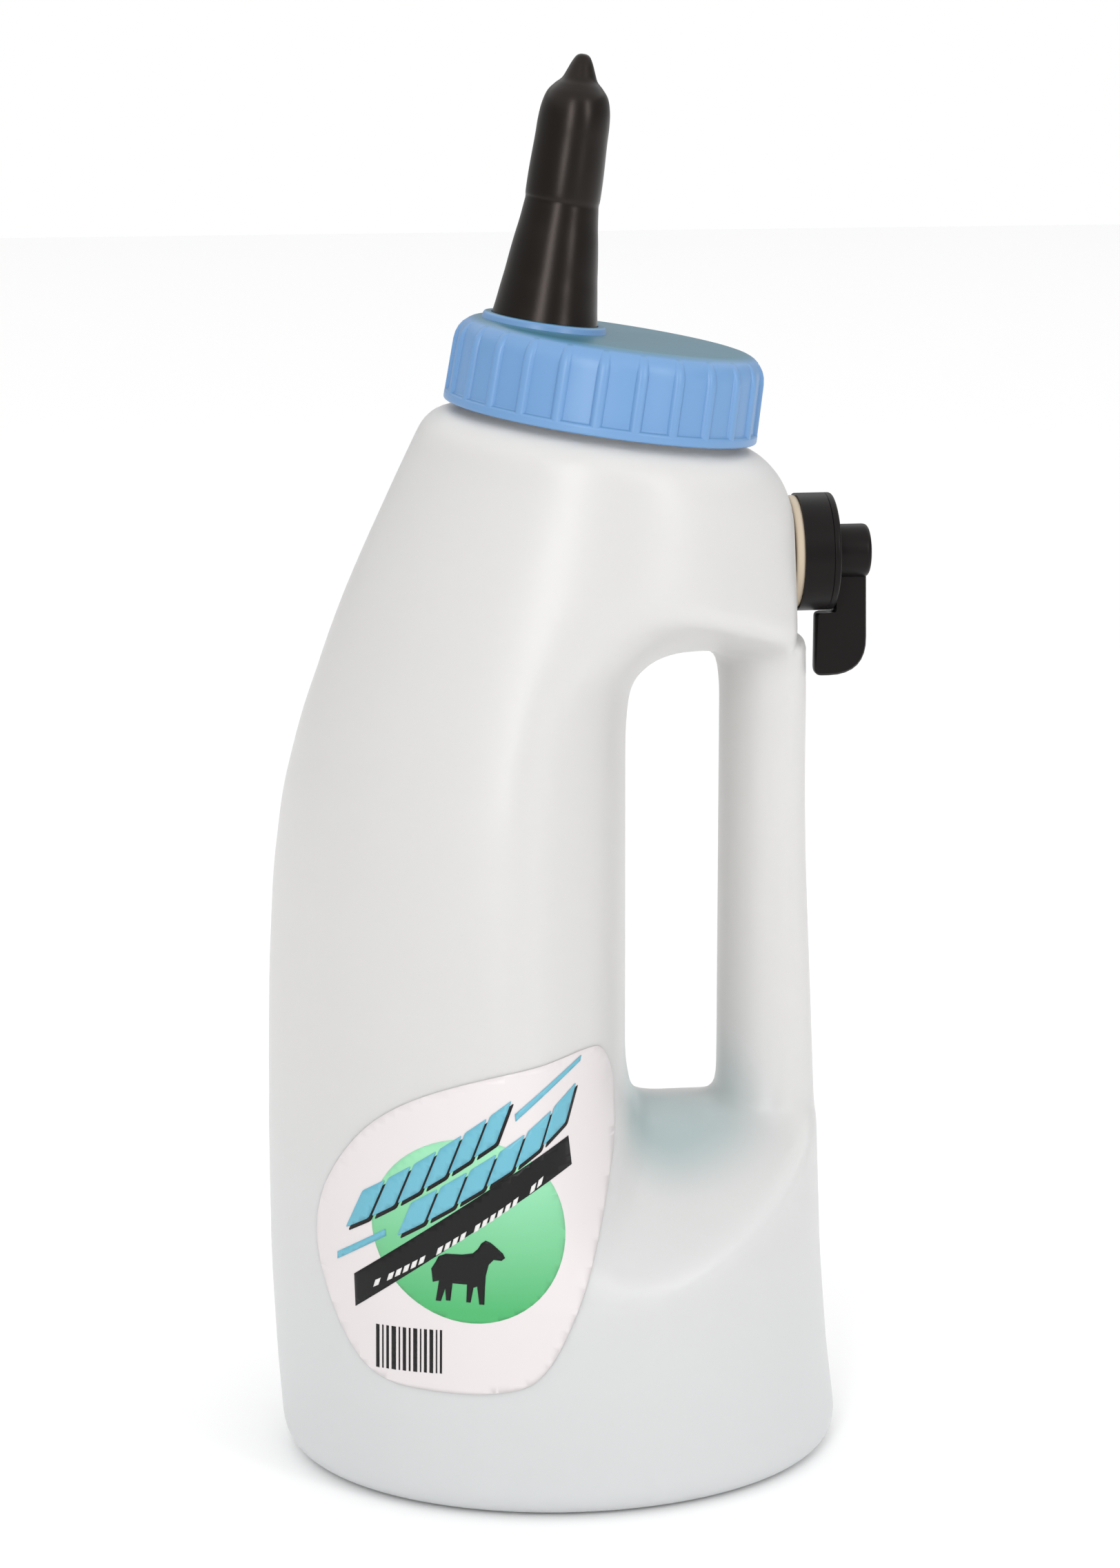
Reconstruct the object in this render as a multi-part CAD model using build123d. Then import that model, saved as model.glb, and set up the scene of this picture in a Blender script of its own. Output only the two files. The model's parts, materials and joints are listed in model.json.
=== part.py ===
"""Calf feeding bottle: blow-moulded bottle with handle, ribbed cap, teat and a three-speed air valve.

Millimetres. +Z is up, +X points to the handle and the air valve, and the bottle is symmetric about
Y = 0. The origin is on the surface it stands on, in the middle of its outer box.
Run it from its own folder: it writes one STEP per piece to parts/.
"""

import os
from math import cos, radians, sin

from build123d import *

# ---- bottle: heights, front and rear x, and half depth of the egg-shaped plan ----
STATIONS = [
    # z, front x, rear x, half depth
    (9, -87.0, 82.5, 74.5),
    (30, -88.6, 79.8, 76.3),
    (60, -90.0, 77.4, 78.2),
    (90, -90.4, 76.2, 78.8),
    (120, -90.4, 75.2, 78.0),
    (150, -89.8, 73.8, 76.2),
    (180, -88.0, 72.4, 73.5),
    (205, -84.8, 71.8, 70.6),
    (230, -78.3, 71.8, 66.8),
    (256, -68.8, 71.0, 62.0),
    (287, -55.0, 67.8, 55.6),
]
WALL = 1.8
BASE_CORNER = 8.5
BASE_RECESS = 1.2
BASE_RECESS_SHARE = 0.80
FLOOR_TOP = 3.2

# ---- handle and finger gap ----
BELLY_STATIONS = [
    # z, rear x of the main tube, which spreads into the whole bottle below and above the gap
    (15, 80.0), (60, 48.0), (92, 25.0), (110, 18.5), (135, 16.5), (165, 16.0), (195, 16.0), (220, 16.5),
    (238, 20.5), (252, 35.0), (285, 70.0),
]
HANDLE_STATIONS = [
    # z, front x and half width of the handle's tube
    (15, 5.0, 60.0), (60, 30.0, 40.0), (92, 42.0, 22.0), (122, 45.0, 17.0), (180, 45.0, 16.5),
    (222, 45.0, 17.0), (246, 43.0, 20.0), (262, 36.0, 28.0), (295, 20.0, 48.0),
]
GAP_BOTTOM = 103.0
GAP_TOP = 247.0
GAP_START_X = -30.0
GAP_DEPTH = 140.0
# the gap's floor falls away, and its roof rises, towards both sides: (y, change of height)
GAP_FLOOR_FALL = [(22, -3), (44, -13), (66, -28), (84, -44)]
GAP_ROOF_RISE = [(24, 3), (50, 14), (84, 40)]

# ---- planes that share the one-piece bottle out between simpler open tubes ----
FOOT_TOP = 102.0
TUBES_TOP = 248.0
TUBES_APART_X = 30.0
REACH = 120.0

# ---- flat back wall that the air valve bolts to ----
SEAT_X = 66.0
SEAT_FOOT = 249.0
SEAT_HEAD = 320.0

# ---- neck and cap, in the leaning neck frame: w runs up the neck from the cap's lower edge ----
NECK_X = 9.8
NECK_Z = 313.5
NECK_TILT = 8.5
SHOULDER_W = -7.0
SHOULDER_R = 51.5
CROWN_W = -2.0
CROWN_R = 45.0
NECK_R = 41.6
MOUTH_R = 39.4
RIM_W = 21.0
CROWN_STEP = 2.0
THREAD_PITCH = 5.0
THREAD_TURNS = 1.5
THREAD_DEPTH = 1.25
THREAD_ROOT = 2.2
THREAD_CREST = 1.0
THREAD_BITE = 0.3
THREAD_CLEARANCE = 0.35
NECK_THREAD_W = 7.0

CAP_R = 46.4
CAP_TOP_R = 45.7
CAP_HEIGHT = 25.3
CAP_WALL_R = 43.6
CAP_ROOF = 2.2
CAP_EDGE = 4.5
CAP_EDGE_IN = 1.3
CAP_EDGE_DOWN = 1.4
CAP_RIBS = 25
RIB_SHARE = 0.2
PANEL_DEPTH = 0.9
PANEL_FOOT = 2.4
PANEL_HEAD = 20.5
SEAL_THICK = 1.95
SEAL_FREE_GAP = 0.05
SEAL_INNER_R = 39.3
SEAL_OUTER_R = 43.2

# ---- teat, parallel to the neck and set forward of its centre ----
TEAT_U = -20.5
TEAT_HOLE_R = 14.3
COLLAR_INNER_R = 15.7
COLLAR_OUTER_R = 18.2
COLLAR_HEIGHT = 2.0
COLLAR_TAPER = 0.5
TEAT_FLANGE_R = 18.2
TEAT_FLANGE_THICK = 2.1
TEAT_FOOT_R = 15.4
TEAT_WALL = 2.3
TEAT_TIP_W = 104.4
TEAT_SLIT = 0.5
TEAT_SLIT_LENGTH = 4.5
TEAT_TIP_R = 1.9
TEAT_FOOT_TOP = 30
# radius of the outside against height above the cap's lower edge
TEAT_LOWER = [(13.6, 40), (12.3, 50), (10.9, 60)]
TEAT_UPPER = [(10.9, 68), (10.5, 79), (10.1, 88)]
TEAT_NOSE = [(8.6, 93), (5.4, 96), (3.4, 100.5)]
TEAT_BORE_END = [(5.5, 93), (2.5, 96), (0, 97)]

# ---- air valve, along +X on the back wall ----
VALVE_Z = 273.0
VALVE_R = 17.5
WASHER_THICK = 2.5
WASHER_R = 16.9
HOUSING_LENGTH = 8.6
COVER_THICK = 2.2
HOUSING_FLOOR = 3.0
HOUSING_BORE_R = 13.6
HOUSING_RIM = 1.4
SHANK_R = 8.0
SHANK_BORE_R = 6.2
SHANK_LENGTH = 18.0
SHANK_HOLE_R = 8.2
INNER_WASHER_R = 14.0
NUT_ACROSS_FLATS = 24.0
NUT_THICK = 6.0
INNER_WASHER_THICK = 2.0
WASHER_BORE_R = 8.1
PORT_OFFSET = 4.2
PORT_R = 1.8
PORT_SEAL_R = 2.9
PORT_SEAL_THICK = 0.9
METERING_RADII = (0.8, 1.2, 1.7)
LEVER_STEP = 60.0
ROTOR_R = 12.6
ROTOR_THICK = 2.0
SPINDLE_R = 2.4
RUNNING_GAP = 0.06
INLET_R = 1.3
INLET_DROP = 15.0
INLET_LENGTH = 8.0
INLET_ANGLES = (-30, 0, 30)
SPIGOT_LENGTH = 1.5
SPIGOT_WALL = 1.15
SPINDLE_SEAL_WIRE_R = 0.55
SPINDLE_SEAL_GROOVE_R = 4.3
SPINDLE_SEAL_GROOVE = 1.1
SPRING_WASHER_FOOT = (10.6, 11.2)
SPRING_WASHER_HEAD = (7.0, 7.6)
HUB_R = 8.0
HUB_DOME = 3.0
HUB_GAP = 0.7
HUB_FACE_R = 4.5
HUB_SOLID_END = 4.0
LEVER_END_X = 90.5
PADDLE_X = 74.5
PADDLE_THICK = 5.0
PADDLE_REACH = 37.5
PADDLE_INNER_Z = 18.4
PADDLE_ROUND_OUTER = 9.0
PADDLE_ROUND_INNER = 2.5
PADDLE_SLOPE = 1.0
SCREW_R = 1.5
SCREW_HEAD_R = 2.8
SCREW_HEAD_THICK = 1.8
SCREW_LENGTH = 8.0
SCREW_SINK = 0.4
SCREW_SLOT = (1.6, 0.8)
BILL_LENGTH = 13.0
BILL_WALL = 1.6
BILL_GRIP = 4.0
BILL_OUTER = (1.6, 7.5)
BILL_INNER = (0.3, 5.5)
BALL_R = 1.25
BALL_OFFSET = 5.6
BALL_TRACK_DEPTH = 0.5
DETENT_POCKET = 5.0
SPRING_WIRE_R = 0.22
SPRING_TURNS = 5
SLIDING_GAP = 0.1

# ---- label on the front of the camera side ----
LABEL_THICK = 0.25
LABEL_GAP = 0.05
LABEL_OUTLINE = [
    (0.0, 138), (5.4, 122), (1.4, 99), (-8.1, 67), (-20.2, 44.5), (-47.0, 40),
    (-66.4, 42), (-75.5, 60), (-79.0, 82), (-70.8, 111), (-51.9, 129),
]

X_AXIS = Axis((0, 0, VALVE_Z), (1, 0, 0))
NECK = Plane(
    origin=(NECK_X, 0, NECK_Z),
    x_dir=(cos(radians(NECK_TILT)), 0, -sin(radians(NECK_TILT))),
    z_dir=(sin(radians(NECK_TILT)), 0, cos(radians(NECK_TILT))),
)


def blend(column, height):
    """Value of one station column at a height, by straight lines between stations."""
    for low, high in zip(STATIONS, STATIONS[1:]):
        if height <= high[0]:
            share = max(0.0, (height - low[0]) / (high[0] - low[0]))
            return low[column] + share * (high[column] - low[column])
    return STATIONS[-1][column]


def oval(height, front, rear, half_depth, inset):
    """Horizontal elliptical face between two x places, drawn in by an inset."""
    plane = Plane(origin=((front + rear) / 2, 0, height))
    return plane * Ellipse((rear - front) / 2 - inset, half_depth - inset)


def turned(points, plane=NECK, offset=0.0):
    """Solid of revolution about the neck axis, or one parallel to it, from (radius, height)."""
    profile = make_face(Polyline(*[(r, 0, w) for r, w in points], close=True))
    return plane * (Pos(offset, 0, 0) * revolve(profile, Axis.Z, 360))


def barrel(points):
    """Solid of revolution about the valve axis, from (radius, x) points."""
    profile = make_face(Polyline(*[(x, 0, VALVE_Z + r) for r, x in points], close=True))
    return revolve(profile, X_AXIS, 360)


def disc(x0, x1, radius, bore=0.0):
    """Plain round slice about the valve axis."""
    return barrel([(bore, x0), (radius, x0), (radius, x1), (bore, x1)])


# ---- bottle ----
def side_wall(inset):
    """Egg-shaped wall, from the top of the base corner to the leaning crown."""
    sections = [oval(*station, inset) for station in STATIONS]
    sections.append(NECK.offset(SHOULDER_W) * Circle(SHOULDER_R - inset))
    return loft(sections)


def plain_bottle(inset):
    """Bottle without its finger gap: rounded base, egg-shaped wall and rounded crown."""
    base_z, front, rear, depth = STATIONS[0]
    floor = FLOOR_TOP if inset > 0 else 0
    foot = extrude(oval(floor, front, rear, depth, inset), base_z - floor)
    corner = min(BASE_CORNER, base_z - floor - inset / 2)
    foot = fillet(foot.edges().sort_by(Axis.Z)[0], corner)
    crown = [(0, SHOULDER_W), (SHOULDER_R - inset, SHOULDER_W)]
    crown += [(SHOULDER_R - CROWN_STEP - inset, CROWN_W - CROWN_STEP - inset)]
    crown += [(CROWN_R - inset, CROWN_W - inset), (0, CROWN_W - inset)]
    return foot + side_wall(inset) + turned(crown)


def belly_core(inset):
    """The main tube beside the finger gap."""
    sections = []
    for z, rear in BELLY_STATIONS:
        sections.append(oval(z, blend(1, z) - 2, rear, blend(3, z) + 1, inset))
    return loft(sections)


def handle_core(inset):
    """The upright tube of the handle beside the finger gap."""
    sections = []
    for z, front, half_width in HANDLE_STATIONS:
        sections.append(oval(z, front, max(blend(2, z), 72.0) + 0.4, half_width, inset))
    return loft(sections)


def mirrored_curve(height, steps):
    """Smooth curve across the bottle's width, symmetric about y = 0."""
    right = [(0, y, height + change) for y, change in steps]
    left = [(0, -y, z) for _, y, z in reversed(right)]
    return Spline(*left, (0, 0, height), *right)


def gap_slice(inset):
    """Slice across the bottle, between the gap's floor and roof."""
    floor = mirrored_curve(GAP_BOTTOM - inset, GAP_FLOOR_FALL)
    roof = mirrored_curve(GAP_TOP + inset, GAP_ROOF_RISE)
    sides = [Line(floor @ 0, roof @ 0), Line(floor @ 1, roof @ 1)]
    front = make_face([floor, roof, *sides])
    return Pos(GAP_START_X, 0, 0) * extrude(front, GAP_DEPTH, dir=(1, 0, 0))


def valve_flat(inset):
    """Material taken off the back wall, which leaves a flat seat above the handle's top."""
    height = SEAT_HEAD - SEAT_FOOT + inset
    slab = Box(SEAT_HEAD - SEAT_FOOT, 2 * SHOULDER_R, height, align=(Align.MIN, Align.CENTER, Align.MIN))
    return Pos(SEAT_X - inset, 0, SEAT_FOOT - inset) * slab


def bottle_mass(inset):
    """Bottle as a solid lump, drawn in by the inset, without its neck."""
    whole = plain_bottle(inset)
    gap = gap_slice(inset)
    tubes = (whole & gap) & (belly_core(inset) + handle_core(inset))
    return (whole - gap) + tubes - valve_flat(inset)


def helix_ridge(root_r, crest_r, start_w):
    """Right-hand thread ridge from a root radius to a crest radius."""
    path = Helix(THREAD_PITCH, THREAD_PITCH * THREAD_TURNS, root_r)
    step = crest_r - root_r
    outline = [
        (root_r, 0, -THREAD_ROOT / 2),
        (crest_r, 0, -THREAD_CREST / 2),
        (crest_r, 0, THREAD_CREST / 2),
        (root_r, 0, THREAD_ROOT / 2),
    ]
    face = make_face(Polyline(*outline, close=True))
    ridge = sweep(face, path=path, is_frenet=True)
    return NECK * (Pos(0, 0, start_w) * ridge)


def bottle_shell():
    """The whole blow-moulded bottle, hollow, with its threaded neck and the valve's hole."""
    neck = turned([(0, CROWN_W - 1), (NECK_R, CROWN_W - 1), (NECK_R, RIM_W), (0, RIM_W)])
    mouth = turned([(0, SHOULDER_W), (MOUTH_R, SHOULDER_W), (MOUTH_R, RIM_W + 1), (0, RIM_W + 1)])
    ridge = helix_ridge(NECK_R - THREAD_BITE, NECK_R + THREAD_DEPTH, NECK_THREAD_W)
    _, front, rear, depth = STATIONS[0]
    share = BASE_RECESS_SHARE
    middle = (front + rear) / 2
    half = share * (rear - front) / 2
    recess = extrude(oval(0, middle - half, middle + half, share * depth, 0), BASE_RECESS)
    hole = disc(SEAT_X - 10, SEAT_X + 10, SHANK_HOLE_R)
    outside = bottle_mass(0) + neck + ridge
    return outside - bottle_mass(WALL) - mouth - recess - hole


def bottle_sections():
    """The bottle shared out, with no gaps, between its foot, belly, handle, shoulder and neck."""
    shell = bottle_shell()
    width = (Align.MIN, Align.CENTER, Align.MIN)
    foot_block = Pos(-REACH, 0, 0) * Box(2 * REACH, 2 * REACH, FOOT_TOP, align=width)
    belly_block = Pos(-REACH, 0, FOOT_TOP) * Box(
        REACH + TUBES_APART_X, 2 * REACH, TUBES_TOP - FOOT_TOP, align=width
    )
    handle_block = Pos(TUBES_APART_X, 0, FOOT_TOP) * Box(REACH, 2 * REACH, TUBES_TOP - FOOT_TOP, align=width)
    upper_block = Pos(-REACH, 0, TUBES_TOP) * Box(2 * REACH, 2 * REACH, REACH, align=width)
    neck_block = turned([(0, CROWN_W), (REACH, CROWN_W), (REACH, REACH), (0, REACH)])
    return {
        "bottle_foot": shell & foot_block,
        "bottle_belly": shell & belly_block,
        "bottle_handle": shell & handle_block,
        "bottle_shoulder": (shell & upper_block) - neck_block,
        "bottle_neck": shell & neck_block,
    }


# ---- cap, seal and teat ----
def cap_shell():
    top = CAP_HEIGHT
    roof = top - CAP_ROOF
    outline = [(0, roof), (CAP_WALL_R, roof), (CAP_WALL_R, 0), (CAP_R, 0), (CAP_R, PANEL_FOOT)]
    outline += [(CAP_TOP_R, top - CAP_EDGE), (CAP_TOP_R - CAP_EDGE_IN, top - CAP_EDGE_DOWN)]
    outline += [(CAP_TOP_R - CAP_EDGE, top), (0, top)]
    return turned(outline)


def cap_panels():
    """Shallow panels between the ribs, all round the skirt."""
    pitch = 360 / CAP_RIBS
    sweep_angle = pitch * (1 - RIB_SHARE)
    low = (CAP_R - PANEL_DEPTH, 0, PANEL_FOOT)
    high = (CAP_TOP_R - PANEL_DEPTH, 0, PANEL_HEAD)
    corners = [low, (CAP_R + 3, 0, PANEL_FOOT), (CAP_R + 3, 0, PANEL_HEAD), high]
    profile = make_face(Polyline(*corners, close=True))
    panel = revolve(profile, Axis.Z, sweep_angle)
    return [NECK * (Rot(0, 0, pitch * k) * panel) for k in range(CAP_RIBS)]


def screw_cap():
    top = CAP_HEIGHT
    collar = turned(
        [(COLLAR_INNER_R, top - 1), (COLLAR_OUTER_R, top - 1),
         (COLLAR_OUTER_R - COLLAR_TAPER, top + COLLAR_HEIGHT), (COLLAR_INNER_R, top + COLLAR_HEIGHT)],
        offset=TEAT_U,
    )
    above = top + COLLAR_HEIGHT + 1
    hole = turned([(0, 0), (TEAT_HOLE_R, 0), (TEAT_HOLE_R, above), (0, above)], offset=TEAT_U)
    crest_r = CAP_WALL_R - THREAD_DEPTH - THREAD_CLEARANCE
    ridge = helix_ridge(CAP_WALL_R + THREAD_BITE, crest_r, NECK_THREAD_W - THREAD_PITCH / 2)
    return cap_shell() - cap_panels() + collar - hole + ridge


def cap_seal_ring():
    top = CAP_HEIGHT - CAP_ROOF - SEAL_FREE_GAP
    low = top - SEAL_THICK
    return turned([(SEAL_INNER_R, low), (SEAL_OUTER_R, low), (SEAL_OUTER_R, top), (SEAL_INNER_R, top)])


def teat_outline():
    """Points up the outside of the teat above the cap."""
    points = [(TEAT_FOOT_R, CAP_HEIGHT), (TEAT_FOOT_R, TEAT_FOOT_TOP)]
    points += TEAT_LOWER + TEAT_UPPER + TEAT_NOSE
    return points + [(TEAT_TIP_R, TEAT_TIP_W - 0.8), (0, TEAT_TIP_W)]


def feeding_teat():
    roof = CAP_HEIGHT - CAP_ROOF
    foot = roof - TEAT_FLANGE_THICK
    groove_r = TEAT_HOLE_R - 0.1
    outline = [(0, foot), (TEAT_FLANGE_R, foot), (TEAT_FLANGE_R, roof)]
    outline += [(groove_r, roof), (groove_r, CAP_HEIGHT)] + teat_outline()
    bore_r = groove_r - TEAT_WALL
    inner = [(0, foot - 1), (bore_r, foot - 1), (bore_r, TEAT_FOOT_TOP + 2)]
    inner += [(r - TEAT_WALL, w) for r, w in TEAT_LOWER + TEAT_UPPER] + TEAT_BORE_END
    slit = Box(TEAT_SLIT, TEAT_SLIT_LENGTH, 12)
    cross = slit + Rot(0, 0, 90) * slit
    tip_cut = NECK * (Pos(TEAT_U, 0, TEAT_TIP_W) * cross)
    return turned(outline, offset=TEAT_U) - turned(inner, offset=TEAT_U) - tip_cut


# ---- air valve ----
HOUSING_X = SEAT_X + WASHER_THICK
COVER_X = HOUSING_X + HOUSING_LENGTH
COVER_END = COVER_X + COVER_THICK
FLOOR_X = HOUSING_X + HOUSING_FLOOR
ROTOR_X = FLOOR_X + PORT_SEAL_THICK + RUNNING_GAP
ROTOR_END = ROTOR_X + ROTOR_THICK
HUB_X = COVER_END + HUB_GAP
SHANK_X = SEAT_X - SHANK_LENGTH
WALL_INSIDE_X = SEAT_X - WALL


def pin(radius, x0, x1, z):
    """Round pin along X on the mid plane."""
    upright = Cylinder(radius, x1 - x0, align=(Align.CENTER, Align.CENTER, Align.MIN))
    return Pos(x0, 0, z) * (Rot(0, 90, 0) * upright)


def port(radius, x0, x1, angle=0.0):
    """Round pin through the port's place, turned about the valve axis."""
    return pin(radius, x0, x1, VALVE_Z - PORT_OFFSET).rotate(X_AXIS, angle)


def valve_body():
    cup = disc(HOUSING_X, COVER_X, VALVE_R)
    shank = disc(SHANK_X, HOUSING_X, SHANK_R) - disc(SHANK_X - 1, HOUSING_X, SHANK_BORE_R)
    bore = disc(FLOOR_X, COVER_X + 1, HOUSING_BORE_R)
    inlet = Pos(ROTOR_END + 1, 0, VALVE_Z - INLET_DROP) * Cylinder(INLET_R, INLET_LENGTH)
    inlets = [inlet.rotate(X_AXIS, angle) for angle in INLET_ANGLES]
    return cup - bore + shank - port(PORT_R, HOUSING_X - 1, FLOOR_X + 1) - inlets


def valve_cover():
    """Lid of the housing, with a spigot into its bore, a seal groove and a track for the click ball."""
    plate = barrel([
        (SPINDLE_R + RUNNING_GAP, COVER_X), (VALVE_R, COVER_X), (VALVE_R, COVER_END - HOUSING_RIM),
        (VALVE_R - HOUSING_RIM, COVER_END), (SPINDLE_R + RUNNING_GAP, COVER_END),
    ])
    spigot_r = HOUSING_BORE_R - RUNNING_GAP
    spigot = disc(COVER_X - SPIGOT_LENGTH, COVER_X, spigot_r, spigot_r - SPIGOT_WALL)
    groove = disc(COVER_X - 1, COVER_X + SPINDLE_SEAL_GROOVE, SPINDLE_SEAL_GROOVE_R)
    inner, outer = BALL_OFFSET - BALL_R, BALL_OFFSET + BALL_R
    track = disc(COVER_END - BALL_TRACK_DEPTH, COVER_END + 1, outer, inner)
    return plate + spigot - groove - track


def spindle_seal():
    ring_r = SPINDLE_SEAL_WIRE_R
    centre = SPINDLE_R + RUNNING_GAP + ring_r
    plane = Plane(origin=(COVER_X + ring_r, 0, VALVE_Z), z_dir=(1, 0, 0))
    return plane * Torus(centre, ring_r)


def metering_rotor():
    """Disc with a small, a middle and a large air hole, on the lever's spindle."""
    plate = disc(ROTOR_X, ROTOR_END, ROTOR_R)
    spindle_end = LEVER_END_X - HUB_SOLID_END
    spindle = disc(ROTOR_END, spindle_end, SPINDLE_R)
    thread = disc(spindle_end - SCREW_LENGTH, LEVER_END_X, SCREW_R)
    holes = []
    for index, radius in enumerate(METERING_RADII):
        holes.append(port(radius, ROTOR_X - 1, ROTOR_END + 1, (index - 1) * LEVER_STEP))
    return plate + spindle - holes - thread


def spring_washer():
    """Coned steel washer that pushes the rotor onto the port's seal."""
    foot = ROTOR_END
    head = COVER_X - RUNNING_GAP
    foot_inner, foot_outer = SPRING_WASHER_FOOT
    head_inner, head_outer = SPRING_WASHER_HEAD
    return barrel([(foot_inner, foot), (foot_outer, foot), (head_outer, head), (head_inner, head)])


def lever_blade():
    """Broad flat paddle that hangs from the hub and steps out round the housing."""
    x0, x1 = PADDLE_X, LEVER_END_X
    top, bottom = VALVE_Z, VALVE_Z - PADDLE_REACH
    step = VALVE_Z - PADDLE_INNER_Z
    corners = [(HUB_X, 0, top), (HUB_X, 0, step), (x0, 0, step), (x0, 0, bottom), (x1, 0, bottom)]
    outline = Polyline(*corners, (x1 - PADDLE_SLOPE, 0, top), close=True)
    blade = extrude(make_face(outline), PADDLE_THICK / 2, dir=(0, 1, 0), both=True)
    outer = blade.edges().filter_by(Axis.Y).sort_by_distance((x1, 0, bottom))[0]
    blade = fillet(outer, PADDLE_ROUND_OUTER)
    inner = blade.edges().filter_by(Axis.Y).sort_by_distance((x0, 0, bottom))[0]
    return fillet(inner, PADDLE_ROUND_INNER)


def valve_lever():
    end = LEVER_END_X
    shoulder = [(HUB_R, end - HUB_DOME), (HUB_R - HUB_DOME / 2, end - HUB_DOME / 3), (HUB_FACE_R, end)]
    hub = barrel([(0, HUB_X), (HUB_R, HUB_X), *shoulder, (0, end)])
    bore = disc(HUB_X - 1, end - HUB_SOLID_END, SPINDLE_R)
    screw_hole = disc(end - HUB_SOLID_END - 1, end + 1, SCREW_R)
    head_hole = disc(end - SCREW_HEAD_THICK - SCREW_SINK, end + 1, SCREW_HEAD_R + SLIDING_GAP)
    pocket = pin(BALL_R + SLIDING_GAP / 2, HUB_X - 1, HUB_X + DETENT_POCKET, VALVE_Z + BALL_OFFSET)
    return hub + lever_blade() - bore - screw_hole - head_hole - pocket


def lever_screw():
    end = LEVER_END_X - SCREW_SINK
    head = disc(end - SCREW_HEAD_THICK, end, SCREW_HEAD_R)
    slot = Pos(end, 0, VALVE_Z) * Box(*SCREW_SLOT, 2 * SCREW_HEAD_R + 1)
    return head + disc(end - SCREW_HEAD_THICK - SCREW_LENGTH, end - SCREW_HEAD_THICK, SCREW_R) - slot


def detent_ball():
    x = COVER_END - BALL_TRACK_DEPTH + BALL_R + SLIDING_GAP
    return Pos(x, 0, VALVE_Z + BALL_OFFSET) * Sphere(BALL_R)


def detent_spring():
    start = COVER_END - BALL_TRACK_DEPTH + 2 * BALL_R + SLIDING_GAP + SPRING_WIRE_R
    end = HUB_X + DETENT_POCKET - SPRING_WIRE_R
    coil_r = BALL_R - SPRING_WIRE_R - SLIDING_GAP / 2
    path = Helix((end - start) / SPRING_TURNS, end - start, coil_r)
    wire = Plane(origin=path @ 0, z_dir=path % 0) * Circle(SPRING_WIRE_R)
    coil = sweep(wire, path=path, is_frenet=True)
    return Pos(start, 0, VALVE_Z + BALL_OFFSET) * (Rot(0, 90, 0) * coil)


def valve_back_nut():
    end = WALL_INSIDE_X - INNER_WASHER_THICK
    plane = Plane(origin=(end - NUT_THICK, 0, VALVE_Z), z_dir=(1, 0, 0))
    corner_r = NUT_ACROSS_FLATS / 2 / cos(radians(30))
    return plane * extrude(RegularPolygon(corner_r, 6) - Circle(SHANK_R), NUT_THICK)


def duckbill_check_valve():
    """Rubber sleeve on the shank's inner end that closes to a flat bill."""
    root = Plane(origin=(SHANK_X, 0, VALVE_Z), z_dir=(-1, 0, 0))
    outside = disc(SHANK_X, SHANK_X + BILL_GRIP, SHANK_R + BILL_WALL)
    outside += loft([root * Circle(SHANK_R + BILL_WALL), root.offset(BILL_LENGTH) * Ellipse(*BILL_OUTER)])
    inside = loft([root * Circle(SHANK_BORE_R), root.offset(BILL_LENGTH + 1) * Ellipse(*BILL_INNER)])
    return outside - disc(SHANK_X, SHANK_X + BILL_GRIP + 1, SHANK_R) - inside


def washer(x0, x1, radius):
    """Flat ring on the shank."""
    return disc(x0, x1, radius, WASHER_BORE_R)


def port_seal():
    """Short rubber sleeve between the housing's port and the rotor."""
    bore = port(PORT_R, FLOOR_X - 1, ROTOR_X)
    return port(PORT_SEAL_R, FLOOR_X, FLOOR_X + PORT_SEAL_THICK) - bore


def front_label():
    """Thin sticker wrapped on the bottle's side, cut to a rounded outline."""
    points = [(x, 0, z) for x, z in LABEL_OUTLINE]
    outline = make_face(Spline(*points, periodic=True))
    window = extrude(outline, 90, dir=(0, -1, 0))
    outside = bottle_mass(-LABEL_GAP - LABEL_THICK) & window
    return outside - bottle_mass(-LABEL_GAP)


PIECES = {
    "screw_cap": screw_cap,
    "cap_seal_ring": cap_seal_ring,
    "feeding_teat": feeding_teat,
    "valve_body": valve_body,
    "valve_cover": valve_cover,
    "valve_outer_washer": lambda: washer(SEAT_X, HOUSING_X, WASHER_R),
    "valve_inner_washer": lambda: washer(WALL_INSIDE_X - INNER_WASHER_THICK, WALL_INSIDE_X, INNER_WASHER_R),
    "valve_back_nut": valve_back_nut,
    "duckbill_check_valve": duckbill_check_valve,
    "port_seal": port_seal,
    "metering_rotor": metering_rotor,
    "spring_washer": spring_washer,
    "spindle_seal": spindle_seal,
    "valve_lever": valve_lever,
    "lever_screw": lever_screw,
    "detent_ball": detent_ball,
    "detent_spring": detent_spring,
    "front_label": front_label,
}

if __name__ == "__main__":
    os.makedirs("parts", exist_ok=True)
    for name, section in bottle_sections().items():
        export_step(section, f"parts/{name}.step")
    for name, make in PIECES.items():
        export_step(make(), f"parts/{name}.step")
    print(f"inside volume about {bottle_mass(WALL).volume / 1e6:.2f} litres, without the neck")
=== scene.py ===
"""Looks of the calf feeding bottle: milky blow-moulded bottle, blue ribbed cap, black teat and air valve.

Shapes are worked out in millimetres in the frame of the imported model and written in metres.
"""

import json
from math import cos, pi, radians, sin, tan

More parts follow.
